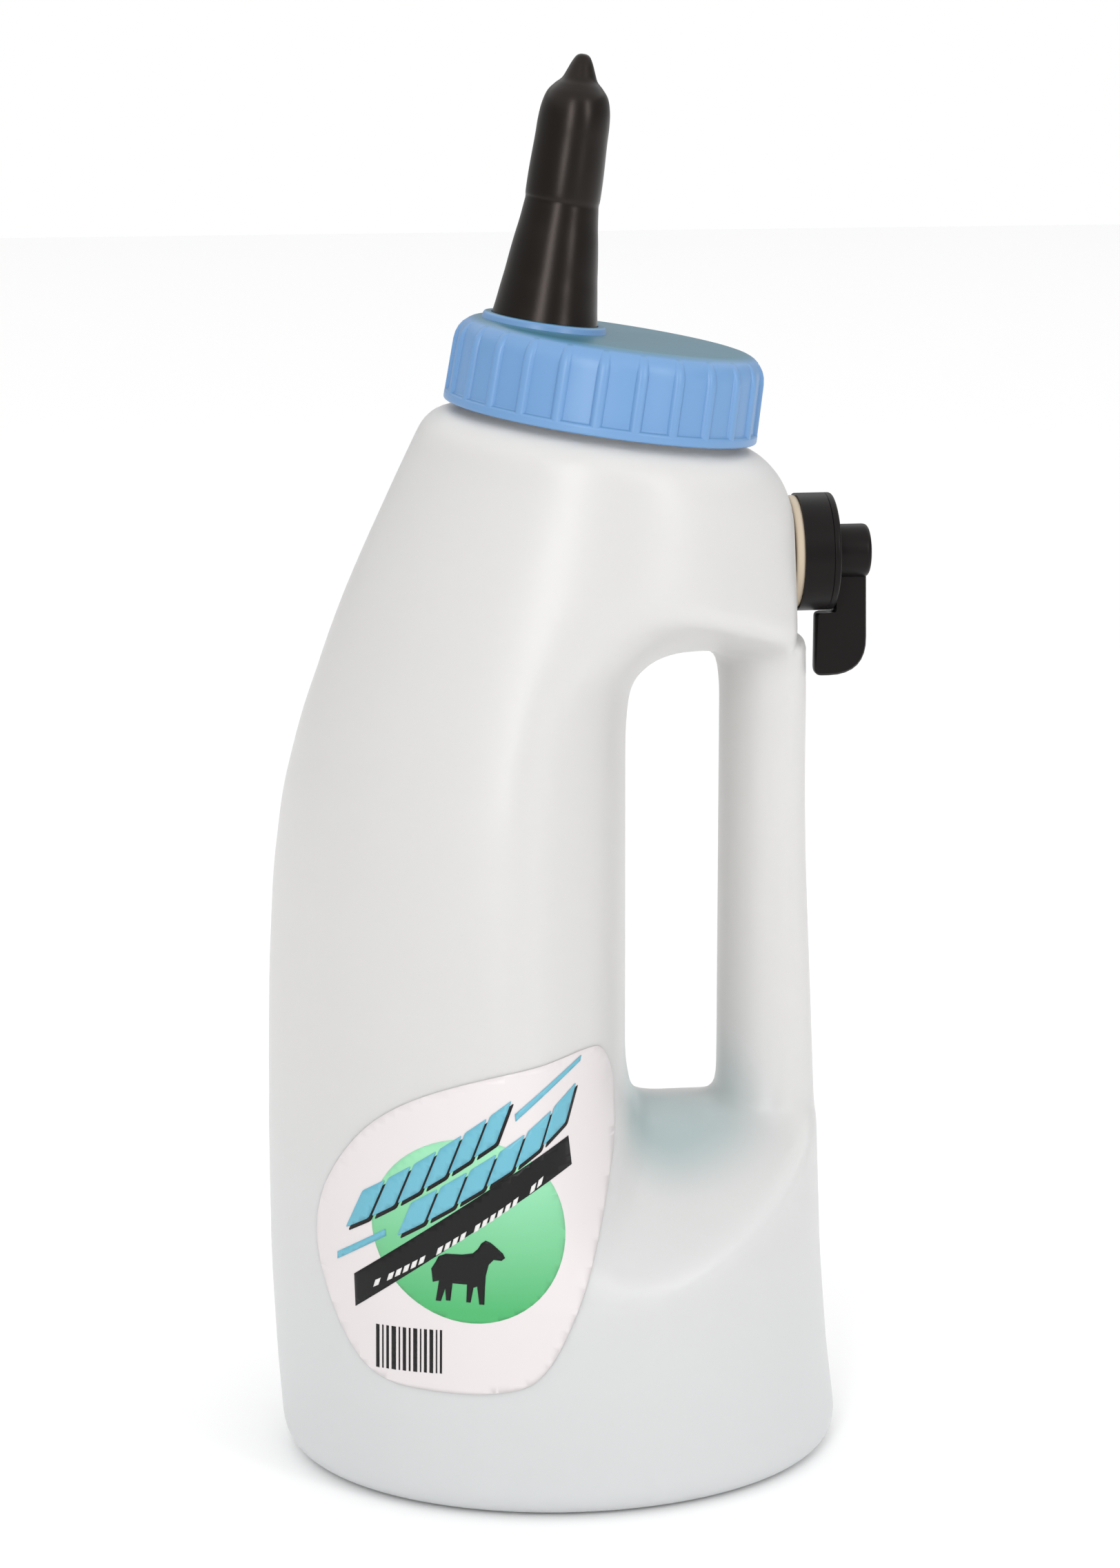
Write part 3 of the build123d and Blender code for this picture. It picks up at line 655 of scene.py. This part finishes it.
def skin_group():
    """Shared moulded skin: cloudy colour change, patchy gloss and a fine grain height."""
    tree = bpy.data.node_groups.new("moulded skin", "ShaderNodeTree")
    input_socket(tree, "Colour", "NodeSocketColor", (0.8, 0.8, 0.8, 1))
    input_socket(tree, "Clouds", "NodeSocketColor", (0.7, 0.7, 0.7, 1))
    input_socket(tree, "Cloud scale", "NodeSocketFloat", 20.0)
    input_socket(tree, "Grain scale", "NodeSocketFloat", 900.0)
    input_socket(tree, "Gloss low", "NodeSocketFloat", 0.3)
    input_socket(tree, "Gloss high", "NodeSocketFloat", 0.5)
    tree.interface.new_socket("Colour", in_out="OUTPUT", socket_type="NodeSocketColor")
    tree.interface.new_socket("Roughness", in_out="OUTPUT", socket_type="NodeSocketFloat")
    tree.interface.new_socket("Height", in_out="OUTPUT", socket_type="NodeSocketFloat")
    nodes, link = tree.nodes, tree.links.new
    given, out = nodes.new("NodeGroupInput"), nodes.new("NodeGroupOutput")
    place = nodes.new("ShaderNodeTexCoord")
    clouds, grain = nodes.new("ShaderNodeTexNoise"), nodes.new("ShaderNodeTexNoise")
    clouds.inputs["Detail"].default_value = 3
    grain.inputs["Detail"].default_value = 2
    mix, gloss = nodes.new("ShaderNodeMix"), nodes.new("ShaderNodeMapRange")
    mix.data_type = "RGBA"
    for texture, scale in ((clouds, "Cloud scale"), (grain, "Grain scale")):
        link(place.outputs["Object"], texture.inputs["Vector"])
        link(given.outputs[scale], texture.inputs["Scale"])
    link(clouds.outputs["Fac"], mix.inputs["Factor"])
    link(given.outputs["Colour"], mix.inputs["A"])
    link(given.outputs["Clouds"], mix.inputs["B"])
    link(clouds.outputs["Fac"], gloss.inputs["Value"])
    link(given.outputs["Gloss low"], gloss.inputs["To Min"])
    link(given.outputs["Gloss high"], gloss.inputs["To Max"])
    link(mix.outputs["Result"], out.inputs["Colour"])
    link(gloss.outputs["Result"], out.inputs["Roughness"])
    link(grain.outputs["Fac"], out.inputs["Height"])
    return tree


SKIN = skin_group()


def moulded(name, colour, clouds, gloss, cloud_scale=20.0, grain_scale=900.0, bump=0.02,
            bump_depth=0.0002):
    """Material with the shared moulded skin. Returns it with its shader, skin and bump nodes."""
    material = bpy.data.materials.new(name)
    material.use_nodes = True
    nodes, link = material.node_tree.nodes, material.node_tree.links.new
    shader = nodes["Principled BSDF"]
    skin = nodes.new("ShaderNodeGroup")
    skin.node_tree = SKIN
    skin.inputs["Colour"].default_value = (*colour, 1)
    skin.inputs["Clouds"].default_value = (*clouds, 1)
    skin.inputs["Cloud scale"].default_value = cloud_scale
    skin.inputs["Grain scale"].default_value = grain_scale
    skin.inputs["Gloss low"].default_value, skin.inputs["Gloss high"].default_value = gloss
    relief = nodes.new("ShaderNodeBump")
    relief.inputs["Strength"].default_value = bump
    relief.inputs["Distance"].default_value = bump_depth
    link(skin.outputs["Colour"], shader.inputs["Base Color"])
    link(skin.outputs["Roughness"], shader.inputs["Roughness"])
    link(skin.outputs["Height"], relief.inputs["Height"])
    link(relief.outputs["Normal"], shader.inputs["Normal"])
    return material, shader, skin, relief


COOL_TOP = 0.14
# Painted shade: a darker teal-grey patch on the floor of the finger gap, where shade falls.
GAP_SHADE_PLACE = (0.026, -0.016, 0.101)
GAP_SHADE_REACH = 0.040
GAP_SHADE_CORE = 0.010


def milky_plastic():
    """Thin natural polyethylene: soft white, a little cooler towards the base, with painted shade darkening
    the floor of the finger gap.
    """
    material, shader, skin, _ = moulded(
        "milk white polyethylene", (0.62, 0.615, 0.605), (0.65, 0.64, 0.63), (0.30, 0.42), 9.0, 420.0,
        0.05, 0.0004)
    shader.inputs["IOR"].default_value = 1.5
    shader.inputs["Subsurface Weight"].default_value = 0.8
    shader.inputs["Subsurface Radius"].default_value = (1.0, 1.0, 1.0)
    shader.inputs["Subsurface Scale"].default_value = 0.006
    nodes, link = material.node_tree.nodes, material.node_tree.links.new
    place, split = nodes.new("ShaderNodeTexCoord"), nodes.new("ShaderNodeSeparateXYZ")
    height = nodes.new("ShaderNodeMapRange")
    tint = nodes.new("ShaderNodeMix")
    tint.data_type = "RGBA"
    tint.blend_type = "MULTIPLY"
    tint.inputs["B"].default_value = (0.955, 0.99, 1.02, 1)
    height.inputs["From Min"].default_value = COOL_TOP
    height.inputs["From Max"].default_value = 0.0
    link(place.outputs["Object"], split.inputs["Vector"])
    link(split.outputs["Z"], height.inputs["Value"])
    link(height.outputs["Result"], tint.inputs["Factor"])
    link(skin.outputs["Colour"], tint.inputs["A"])
    # Painted shade on the floor of the finger gap: darker teal-grey, fading out with distance from its
    # middle.
    apart, near = nodes.new("ShaderNodeVectorMath"), nodes.new("ShaderNodeMapRange")
    gap_shade = nodes.new("ShaderNodeMix")
    apart.operation = "DISTANCE"
    apart.inputs[1].default_value = GAP_SHADE_PLACE
    near.interpolation_type = "SMOOTHSTEP"
    near.inputs["From Min"].default_value = GAP_SHADE_REACH
    near.inputs["From Max"].default_value = GAP_SHADE_CORE
    gap_shade.data_type = "RGBA"
    gap_shade.inputs["B"].default_value = (0.41, 0.49, 0.495, 1)
    link(place.outputs["Object"], apart.inputs[0])
    link(apart.outputs["Value"], near.inputs["Value"])
    link(near.outputs["Result"], gap_shade.inputs["Factor"])
    link(tint.outputs["Result"], gap_shade.inputs["A"])
    link(gap_shade.outputs["Result"], shader.inputs["Base Color"])
    return material


def cap_plastic():
    """Light blue moulded plastic, with painted shade making the flat top darker and greener."""
    material, shader, skin, _ = moulded(
        "light blue cap plastic", (0.125, 0.27, 0.50), (0.15, 0.30, 0.54), (0.30, 0.42), 30.0)
    nodes, link = material.node_tree.nodes, material.node_tree.links.new
    # Painted shade: faces that look up the neck's axis, such as the flat top, get a darker teal-blue.
    place, facing = nodes.new("ShaderNodeTexCoord"), nodes.new("ShaderNodeVectorMath")
    facing.operation = "DOT_PRODUCT"
    facing.inputs[1].default_value = (sin(NECK_TILT), 0, cos(NECK_TILT))
    share, tint = nodes.new("ShaderNodeMapRange"), nodes.new("ShaderNodeMix")
    share.inputs["From Min"].default_value = 0.80
    tint.data_type = "RGBA"
    tint.inputs["B"].default_value = (0.05, 0.17, 0.235, 1)
    link(place.outputs["Normal"], facing.inputs[0])
    link(facing.outputs["Value"], share.inputs["Value"])
    link(share.outputs["Result"], tint.inputs["Factor"])
    link(skin.outputs["Colour"], tint.inputs["A"])
    link(tint.outputs["Result"], shader.inputs["Base Color"])
    return material


def all_materials():
    """Every material but the label's, by the name of its slot."""
    black, shader, _, _ = moulded(
        "black moulded plastic", (0.003, 0.003, 0.003), (0.006, 0.005, 0.005), (0.30, 0.42), 60.0, 1400.0,
        0.08)
    shader.inputs["Specular IOR Level"].default_value = 0.16
    shader.inputs["Specular Tint"].default_value = (1.0, 0.93, 0.9, 1)
    rubber, shader, _, _ = moulded(
        "black teat rubber", (0.001, 0.001, 0.001), (0.003, 0.002, 0.001), (0.26, 0.34), 40.0, 700.0, 0.06)
    shader.inputs["Specular IOR Level"].default_value = 0.32
    shader.inputs["Specular Tint"].default_value = (1.0, 0.86, 0.80, 1)
    cream, _, _, _ = moulded("cream washer rubber", (0.58, 0.49, 0.37), (0.52, 0.43, 0.32), (0.5, 0.65), 60.0)
    seal, _, _, _ = moulded("black seal rubber", (0.03, 0.03, 0.03), (0.04, 0.04, 0.04), (0.55, 0.7), 60.0)
    nylon, _, _, _ = moulded("natural nylon", (0.75, 0.72, 0.63), (0.7, 0.67, 0.58), (0.3, 0.4), 60.0)
    steel, shader, _, _ = moulded(
        "bright spring steel", (0.6, 0.6, 0.6), (0.5, 0.5, 0.5), (0.2, 0.35), 200.0)
    shader.inputs["Metallic"].default_value = 1.0
    return {
        "milk_white_plastic": milky_plastic(), "blue_plastic": cap_plastic(), "black_plastic": black,
        "teat_rubber": rubber, "cream_rubber": cream, "seal_rubber": seal, "nylon": nylon,
        "spring_steel": steel,
    }


# ======================= label =======================
LABEL_OUTLINE = [
    (-2.0, 139.6), (3.6, 136.5), (7.4, 126), (7.2, 112), (3.6, 98), (-2.6, 80), (-8.4, 65), (-14.5, 51.5),
    (-21.5, 43.6), (-33, 40.6), (-47.0, 40), (-60.5, 41.0), (-68.6, 46.5), (-75.0, 59), (-79.2, 76),
    (-78.4, 92), (-72.6, 107.5), (-63.5, 120.0), (-50.0, 129.2), (-31, 136.0), (-14.0, 139.0),
]
FILM_BASE = 0.05
FILM_TOP = 0.22
INK = 0.04


def side_place(x, z, lift, farthest=-95.0, nearest=-2.0, halvings=34):
    """Y of the bottle's near side at a place, lifted outwards. Found by halving the range again and again."""
    low, high = np.full_like(x, farthest), np.full_like(x, nearest)
    for _ in range(halvings):
        middle = (low + high) / 2
        outside = bottle_distance(x, middle, z) > lift
        low, high = np.where(outside, middle, low), np.where(outside, high, middle)
    return high


def closed_spline(points, steps=10):
    """Smooth closed curve through (x, z) points."""
    path = []
    for i in range(len(points)):
        path += spline_steps([points[(i + k) % len(points)] for k in (-1, 0, 1, 2)], steps)
    return path


SHEET_RIGHT = np.array((0.990, -0.139, 0.0))
SHEET_UP = np.array((0.030, 0.213, 0.976))
SETTLE_PASSES = 14


def densify(outline, spacing):
    """Adds points along an outline, so that its edges are straight when seen from the label's front."""
    x, z = np.array(outline, float).T
    corners = np.stack([x, side_place(x, z, FILM_TOP), z], axis=1)
    across, up = corners @ SHEET_RIGHT, corners @ SHEET_UP
    flat = []
    for k in range(len(outline)):
        a, b = Vector((across[k - 1], up[k - 1])), Vector((across[k], up[k]))
        count = max(1, int((b - a).length / spacing))
        flat += [a.lerp(b, i / count) for i in range(count)]
    across, up = np.array(flat).T
    x, z = across.copy(), up.copy()
    for _ in range(SETTLE_PASSES):
        y = side_place(x, z, FILM_TOP)
        x = 0.5 * x + 0.5 * (across - SHEET_RIGHT[1] * y) / SHEET_RIGHT[0]
        z = 0.5 * z + 0.5 * (up - SHEET_UP[1] * y - SHEET_UP[0] * x) / SHEET_UP[2]
    return list(zip(x.tolist(), z.tolist()))


def wrapped_film(bm, outline, low, high, ink, spacing=2.0):
    """Thin closed sheet between two lifts above the bottle's near side, cut to an (x, z) outline."""
    rim = densify(outline, spacing)
    points = [Vector(p) for p in rim]
    xs, zs = [p[0] for p in rim], [p[1] for p in rim]
    for x in np.arange(min(xs) + spacing / 2, max(xs), spacing):
        for z in np.arange(min(zs) + spacing / 2, max(zs), spacing):
            points.append(Vector((x, z)))
    edges = [(i, (i + 1) % len(rim)) for i in range(len(rim))]
    made = delaunay_2d_cdt(points, edges, [list(range(len(rim)))], 1, 1e-5)
    flat, faces = made[0], made[2]
    x, z = np.array([p.x for p in flat]), np.array([p.y for p in flat])
    layers = []
    for lift in (low, high):
        y = side_place(x, z, lift)
        layers.append([bm.verts.new(p) for p in zip(x, y, z)])
    use = {}
    for face in faces:
        for a, b in zip(face, face[1:] + face[:1]):
            use[(a, b)] = face
        bm.faces.new([layers[1][i] for i in face]).material_index = ink
        bm.faces.new([layers[0][i] for i in reversed(face)]).material_index = ink
    for a, b in use:
        if (b, a) not in use:
            bm.faces.new((layers[0][a], layers[0][b], layers[1][b], layers[1][a])).material_index = ink


def disc_outline(x, z, radius_x, radius_z, steps=64):
    """Corners of a slightly oval disc."""
    turns = [2 * pi * k / steps for k in range(steps)]
    return [(x + radius_x * cos(turn), z + radius_z * sin(turn)) for turn in turns]


def slanted_blocks(start, end, height, count, gap, lean):
    """Corners of a row of slanted blocks between two (x, z) foot points."""
    start, end = Vector(start), Vector(end)
    step = (end - start) / count
    blocks = []
    for k in range(count):
        foot = start + step * k
        across = step * (1 - gap)
        up = Vector((lean, height))
        blocks.append([tuple(foot), tuple(foot + across), tuple(foot + across + up), tuple(foot + up)])
    return blocks


CALF = [
    (-47.8, 80.2), (-47.0, 82.0), (-45.0, 83.0), (-40.5, 83.2), (-37.6, 83.8), (-36.2, 85.2), (-35.2, 87.0),
    (-34.0, 87.9), (-32.6, 87.3), (-31.5, 86.4), (-29.2, 84.2), (-28.6, 82.9), (-29.6, 82.0), (-31.8, 82.2),
    (-33.2, 80.6), (-34.0, 77.2), (-34.2, 74.0), (-34.4, 68.4), (-35.8, 68.4), (-36.4, 73.8), (-37.4, 73.4),
    (-38.2, 68.8), (-39.4, 68.8), (-39.2, 74.2), (-43.2, 74.2), (-43.8, 68.8), (-45.0, 68.8), (-45.2, 72.4),
    (-46.4, 68.4), (-47.8, 68.4), (-46.9, 74.6), (-48.6, 74.0), (-49.0, 78.0),
]


DISC = (-38.0, 90.0, 27.0, 27.6)
BLOCK_ROWS = [
    # foot of the first block, foot of the row's end, height, count, gap share, lean
    ((-72.0, 85.4), (-30.2, 117.6), 12.6, 6, 0.12, 4.6),
    ((-58.2, 86.4), (-9.4, 121.2), 10.6, 6, 0.10, 3.8),
]
SHADE_X = 0.7
SHADE_Z = -0.8
STROKES = [
    [(-25.6, 125.4), (-4.6, 138.6), (-5.0, 137.0), (-25.4, 123.3)],
    [(-74.2, 77.2), (-61.4, 87.8), (-61.2, 85.8), (-74.2, 75.0)],
]
BANNER = [(-69.8, 71.9), (-9.3, 116.6), (-8.4, 108.2), (-69.5, 61.9)]
DASH_LINE = (-69.6, 65.6), (-8.8, 111.4)
DASH_GROUPS = ((0.08, 0.12), (0.14, 0.33), (0.36, 0.50), (0.53, 0.74), (0.79, 0.85))
DASH_PITCH = 0.035
DASH_LENGTH = 0.024
DASH_LEAN = 0.6
DASH_HEIGHT = 2.3
STRIPE_WIDTHS = (0.9, 0.4, 0.7, 1.2, 0.4, 0.9, 0.5, 1.1, 0.4, 0.8, 1.0, 0.4, 0.6)
STRIPE_START = -64.0
STRIPE_FOOT = 44.4
STRIPE_HEIGHT = 13.6
STRIPE_GAP = 0.72
STRIPE_CLIMB = 0.08
PRINT_LIFT = 0.03
PRINT_STEP = 0.06


def dashes():
    """White dashes along the banner, in groups."""
    start, end = (Vector(place) for place in DASH_LINE)
    bars = []
    for first, last in DASH_GROUPS:
        for k in range(max(1, round((last - first) / DASH_PITCH))):
            a = start.lerp(end, first + DASH_PITCH * k)
            b = start.lerp(end, first + DASH_PITCH * k + DASH_LENGTH)
            bars.append([tuple(a), tuple(b), (b.x + DASH_LEAN, b.y + DASH_HEIGHT),
                         (a.x + DASH_LEAN, a.y + DASH_HEIGHT)])
    return bars


def stripes():
    """Plain upright stripes of uneven width."""
    bars = []
    place = STRIPE_START
    for width in STRIPE_WIDTHS:
        z = STRIPE_FOOT + (place - STRIPE_START) * STRIPE_CLIMB
        bars.append([(place, z), (place + width, z), (place + width, z + STRIPE_HEIGHT),
                     (place, z + STRIPE_HEIGHT)])
        place += width + STRIPE_GAP
    return bars


def make_label(materials):
    """Printed sticker: film, shaded disc, slanted blocks, strokes, banner, a calf and plain stripes."""
    bm = bmesh.new()
    film, green, blue, black, white = range(5)
    wrapped_film(bm, densify(closed_spline(LABEL_OUTLINE, 8), 1.5), FILM_BASE, FILM_TOP, film, 2.5)
    first, second, third = (FILM_TOP + PRINT_LIFT + PRINT_STEP * k for k in range(3))
    wrapped_film(bm, disc_outline(*DISC), first, first + INK, green, 2.2)
    for row in BLOCK_ROWS:
        for block in slanted_blocks(*row):
            shade = [(x + SHADE_X, z + SHADE_Z) for x, z in block]
            wrapped_film(bm, rounded(shade, 0.8, 3), second, second + INK, black)
            wrapped_film(bm, rounded(block, 0.8, 3), third, third + INK, blue)
    for stroke in STROKES:
        wrapped_film(bm, stroke, third, third + INK, blue)
    wrapped_film(bm, BANNER, second, second + INK, black)
    for dash in dashes():
        wrapped_film(bm, dash, third, third + INK, white)
    wrapped_film(bm, CALF, third, third + INK, black, 1.6)
    for stripe in stripes():
        wrapped_film(bm, stripe, first, first + INK, black)
    label = finish_mesh(bm, "label_print", 180)
    for name in ("film", "green", "blue", "black", "white"):
        label.data.materials.append(materials[name])
    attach(label, "bottle")
    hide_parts("front_label")


def shaded_print():
    """Green print that runs from deep at the foot of the disc to pale at its top."""
    material, shader, skin, _ = moulded(
        "green print", (0.045, 0.36, 0.11), (0.06, 0.40, 0.13), (0.3, 0.4), 30.0)
    nodes, link = material.node_tree.nodes, material.node_tree.links.new
    place, split = nodes.new("ShaderNodeTexCoord"), nodes.new("ShaderNodeSeparateXYZ")
    share, fade = nodes.new("ShaderNodeMapRange"), nodes.new("ShaderNodeMix")
    share.inputs["From Min"].default_value = 0.066
    share.inputs["From Max"].default_value = 0.112
    fade.data_type = "RGBA"
    fade.inputs["B"].default_value = (0.28, 0.64, 0.40, 1)
    link(place.outputs["Object"], split.inputs["Vector"])
    link(split.outputs["Z"], share.inputs["Value"])
    link(share.outputs["Result"], fade.inputs["Factor"])
    link(skin.outputs["Colour"], fade.inputs["A"])
    link(fade.outputs["Result"], shader.inputs["Base Color"])
    return material


def print_materials():
    """The label's film and its four inks."""
    film, _, _, _ = moulded("white sticker film", (0.69, 0.64, 0.645), (0.66, 0.62, 0.625), (0.3, 0.4), 30.0)
    blue, _, _, _ = moulded("pale blue print", (0.11, 0.38, 0.49), (0.14, 0.42, 0.53), (0.3, 0.4), 30.0)
    black, shader, _, _ = moulded(
        "black print", (0.006, 0.006, 0.006), (0.012, 0.012, 0.012), (0.3, 0.4), 30.0)
    shader.inputs["Specular IOR Level"].default_value = 0.2
    white, _, _, _ = moulded("white print", (0.72, 0.70, 0.69), (0.69, 0.68, 0.67), (0.3, 0.4), 30.0)
    return {"film": film, "green": shaded_print(), "blue": blue, "black": black, "white": white}


# ======================= stage =======================
def make_camera():
    """Long lens a little above the shoulder, turned slightly to the front of the bottle."""
    distance, height, aim_x = 1.235, 0.476, -0.002
    azimuth, pitch = radians(-8.0), radians(12.4)
    data = bpy.data.cameras.new("camera")
    data.lens = 97.28
    data.sensor_width = 36.0
    camera = bpy.data.objects.new("camera", data)
    camera.location = (aim_x + sin(azimuth) * distance, -cos(azimuth) * distance, height)
    camera.rotation_euler = Euler((pi / 2 - pitch, 0, azimuth))
    bpy.context.scene.collection.objects.link(camera)
    bpy.context.scene.camera = camera


def area_light(name, place, target, size, power):
    """Rectangular softbox at a place, facing a target."""
    data = bpy.data.lights.new(name, "AREA")
    data.shape = "RECTANGLE"
    data.size, data.size_y = size
    data.energy = power
    light = bpy.data.objects.new(name, data)
    light.location = place
    light.rotation_euler = (Vector(target) - Vector(place)).to_track_quat("-Z", "Y").to_euler()
    bpy.context.scene.collection.objects.link(light)


def make_stage():
    """White room that lights less than it shows, a pale floor and three softboxes."""
    world = bpy.data.worlds.new("studio")
    world.use_nodes = True
    nodes, link = world.node_tree.nodes, world.node_tree.links.new
    seen, path = nodes.new("ShaderNodeMapRange"), nodes.new("ShaderNodeLightPath")
    seen.inputs["To Min"].default_value = 0.50
    seen.inputs["To Max"].default_value = 1.0
    link(path.outputs["Is Camera Ray"], seen.inputs["Value"])
    link(seen.outputs["Result"], nodes["Background"].inputs["Strength"])
    nodes["Background"].inputs["Color"].default_value = (1, 1, 1, 1)
    bpy.context.scene.world = world
    bpy.context.scene.view_settings.view_transform = "Standard"
    bm = bmesh.new()
    bmesh.ops.create_grid(bm, x_segments=1, y_segments=1, size=4.2)
    mesh = bpy.data.meshes.new("floor")
    bm.to_mesh(mesh)
    bm.free()
    floor = new_object("floor", mesh)
    pale, _, _, _ = moulded("pale paper floor", (0.95, 0.95, 0.95), (0.94, 0.94, 0.94), (0.7, 0.8), 1.0)
    floor.data.materials.append(pale)
    area_light("overhead softbox", (0.0, 1.2, 4.0), (0, 1.2, 0), (15.0, 15.0), 495.0)
    area_light("left softbox", (-0.50, -1.42, 0.78), (0, 0, 0.22), (0.32, 0.9), 7.6)
    area_light("right softbox", (0.90, -1.25, 0.80), (0, 0, 0.22), (0.28, 0.7), 4.4)


# ======================= the whole scene =======================
materials = all_materials()
print_inks = print_materials()
materials["label_film"] = print_inks["film"]
slots = {row["node"]: row["material_slot"] for row in frame["record"]["subparts"]}
for node, obj in frame["nodes"].items():
    obj.data.materials.clear()
    obj.data.materials.append(materials[slots[node]])

make_camera()
make_stage()
make_bottle(materials["milk_white_plastic"])
make_cap(materials["blue_plastic"])
make_teat(materials["teat_rubber"])
make_housing(materials["black_plastic"])
make_lever(materials["black_plastic"])
make_washer(materials["cream_rubber"])
make_label(print_inks)
